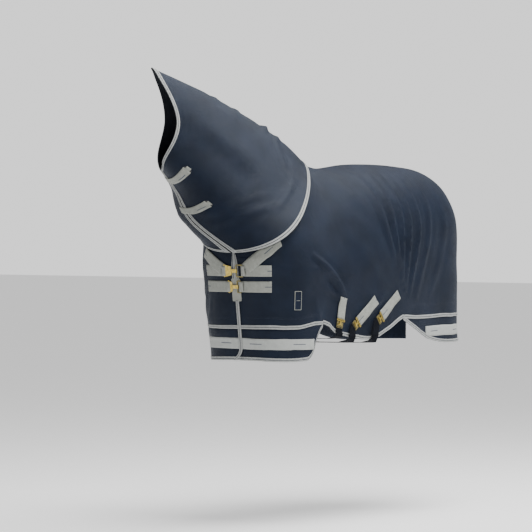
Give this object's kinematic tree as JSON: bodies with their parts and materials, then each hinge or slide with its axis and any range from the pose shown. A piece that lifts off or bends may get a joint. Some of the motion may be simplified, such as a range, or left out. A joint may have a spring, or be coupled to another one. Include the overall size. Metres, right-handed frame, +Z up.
{
  "type": "turnout rug",
  "caption": "Padded waterproof turnout rug with a clip-on neck cover, chest clips, slanted belly straps, tail flap and reflective bands; covers a horse from behind the ears to the tail.",
  "frame": {"origin": "where the rug rests on the withers, on its middle plane", "axes": "+X towards the tail, +Y to the horse's right, +Z up"},
  "size_m": [1.7493, 0.7698, 1.3361],
  "materials": {
    "outer_fabric": "woven ripstop, slight sheen",
    "lining_fabric": "matte smooth lining",
    "wadding": "matte fibre fill",
    "webbing": "woven webbing, satin",
    "black_webbing": "woven webbing, matte",
    "binding": "double-striped woven binding",
    "reflective_tape": "retroreflective tape, satin",
    "label": "woven patch",
    "brass": "cast, slightly aged"
  },
  "bodies": {
    "rug": {"belly_binding_left": "binding", "belly_binding_right": "binding", "chest_centre_tab": "webbing", "chest_edge_binding_left": "binding", "chest_edge_binding_right": "binding", "chest_ring_lower": "brass", "chest_ring_upper": "brass", "chest_strap_lower_left": "webbing", "chest_strap_lower_right": "webbing", "chest_strap_upper_left": "webbing", "chest_strap_upper_right": "webbing", "chest_tape_upper_left": "webbing", "chest_tape_upper_right": "webbing", "front_skirt_binding_left": "binding", "front_skirt_binding_right": "binding", "front_skirt_left": "outer_fabric", "front_skirt_right": "outer_fabric", "insulation_left": "wadding", "insulation_right": "wadding", "label_patch": "label", "lining_left": "lining_fabric", "lining_right": "lining_fabric", "neck_facing_left": "outer_fabric", "neck_facing_right": "outer_fabric", "outer_shell_left": "outer_fabric", "outer_shell_right": "outer_fabric", "rear_skirt_binding_left": "binding", "rear_skirt_binding_right": "binding", "rear_skirt_left": "outer_fabric", "rear_skirt_right": "outer_fabric", "reflective_band_front_left": "reflective_tape", "reflective_band_front_right": "reflective_tape", "reflective_band_rear_left": "reflective_tape", "reflective_band_rear_right": "reflective_tape", "slot_plate_front": "brass", "slot_plate_middle": "brass", "slot_plate_rear": "brass", "under_belly_strap_front": "black_webbing", "under_belly_strap_middle": "black_webbing", "under_belly_strap_rear": "black_webbing"},
    "neck_cover": {"head_end_binding": "binding", "neck_clip_tab_left": "webbing", "neck_clip_tab_right": "webbing", "neck_lining_left": "lining_fabric", "neck_lining_right": "lining_fabric", "neck_shell_left": "outer_fabric", "neck_shell_right": "outer_fabric", "shoulder_hem_binding": "binding"},
    "throat_strap_upper": {"throat_strap_upper": "webbing"},
    "throat_strap_lower": {"throat_strap_lower": "webbing"},
    "chest_hook_upper": {"chest_hook_upper": "brass"},
    "chest_hook_lower": {"chest_hook_lower": "brass"},
    "belly_strap_front": {"belly_strap_front": "webbing"},
    "belly_strap_middle": {"belly_strap_middle": "webbing"},
    "belly_strap_rear": {"belly_strap_rear": "webbing"},
    "t_hook_front": {"t_hook_front": "brass"},
    "t_hook_middle": {"t_hook_middle": "brass"},
    "t_hook_rear": {"t_hook_rear": "brass"},
    "tail_flap": {"tail_flap": "outer_fabric"}
  },
  "joints": [
    {"name": "neck_cover_lift", "type": "slide", "parent": "rug", "child": "neck_cover", "axis": [-0.6092, 0.5077, 0.6092], "range_m": [0, 0.15]},
    {"name": "throat_strap_upper_turn", "type": "hinge", "parent": "neck_cover", "child": "throat_strap_upper", "pos_m": [-0.61683, 0.34646, -0.06663], "axis": [0.4296, -0.3271, -0.8417], "range_deg": [0, 100]},
    {"name": "throat_strap_lower_turn", "type": "hinge", "parent": "neck_cover", "child": "throat_strap_lower", "pos_m": [-0.59448, 0.28143, -0.20859], "axis": [-0.0633, -0.5122, -0.8565], "range_deg": [0, 100]},
    {"name": "chest_hook_upper_turn", "type": "hinge", "parent": "rug", "child": "chest_hook_upper", "pos_m": [-0.55829, 0.06, -0.48264], "axis": [0.1298, 0, -0.9915], "range_deg": [0, 100]},
    {"name": "chest_hook_lower_turn", "type": "hinge", "parent": "rug", "child": "chest_hook_lower", "pos_m": [-0.54886, 0.04, -0.55464], "axis": [0.1298, 0, -0.9915], "range_deg": [0, 100]},
    {"name": "belly_strap_front_lift", "type": "hinge", "parent": "rug", "child": "belly_strap_front", "pos_m": [-0.12603, -0.30121, -0.60801], "axis": [-0.9728, 0.0904, 0.2133], "range_deg": [0, 60]},
    {"name": "t_hook_front_turn", "type": "hinge", "parent": "belly_strap_front", "child": "t_hook_front", "pos_m": [-0.1483, -0.30134, -0.70952], "axis": [-0.9728, 0.0904, 0.2133], "range_deg": [0, 90]},
    {"name": "belly_strap_middle_lift", "type": "hinge", "parent": "rug", "child": "belly_strap_middle", "pos_m": [0.10798, -0.32032, -0.622], "axis": [-0.5988, 0.0442, 0.7997], "range_deg": [0, 60]},
    {"name": "t_hook_middle_turn", "type": "hinge", "parent": "belly_strap_middle", "child": "t_hook_middle", "pos_m": [-0.02529, -0.31362, -0.72215], "axis": [-0.5988, 0.0442, 0.7997], "range_deg": [0, 90]},
    {"name": "belly_strap_rear_lift", "type": "hinge", "parent": "rug", "child": "belly_strap_rear", "pos_m": [0.291, -0.32531, -0.602], "axis": [-0.5701, 0.0282, 0.8211], "range_deg": [0, 60]},
    {"name": "t_hook_rear_turn", "type": "hinge", "parent": "belly_strap_rear", "child": "t_hook_rear", "pos_m": [0.14689, -0.32784, -0.70196], "axis": [-0.5701, 0.0282, 0.8211], "range_deg": [0, 90]},
    {"name": "tail_flap_lift", "type": "hinge", "parent": "rug", "child": "tail_flap", "pos_m": [0.90875, 0, -0.07613], "axis": [0, -1, 0], "range_deg": [0, 75]}
  ]
}
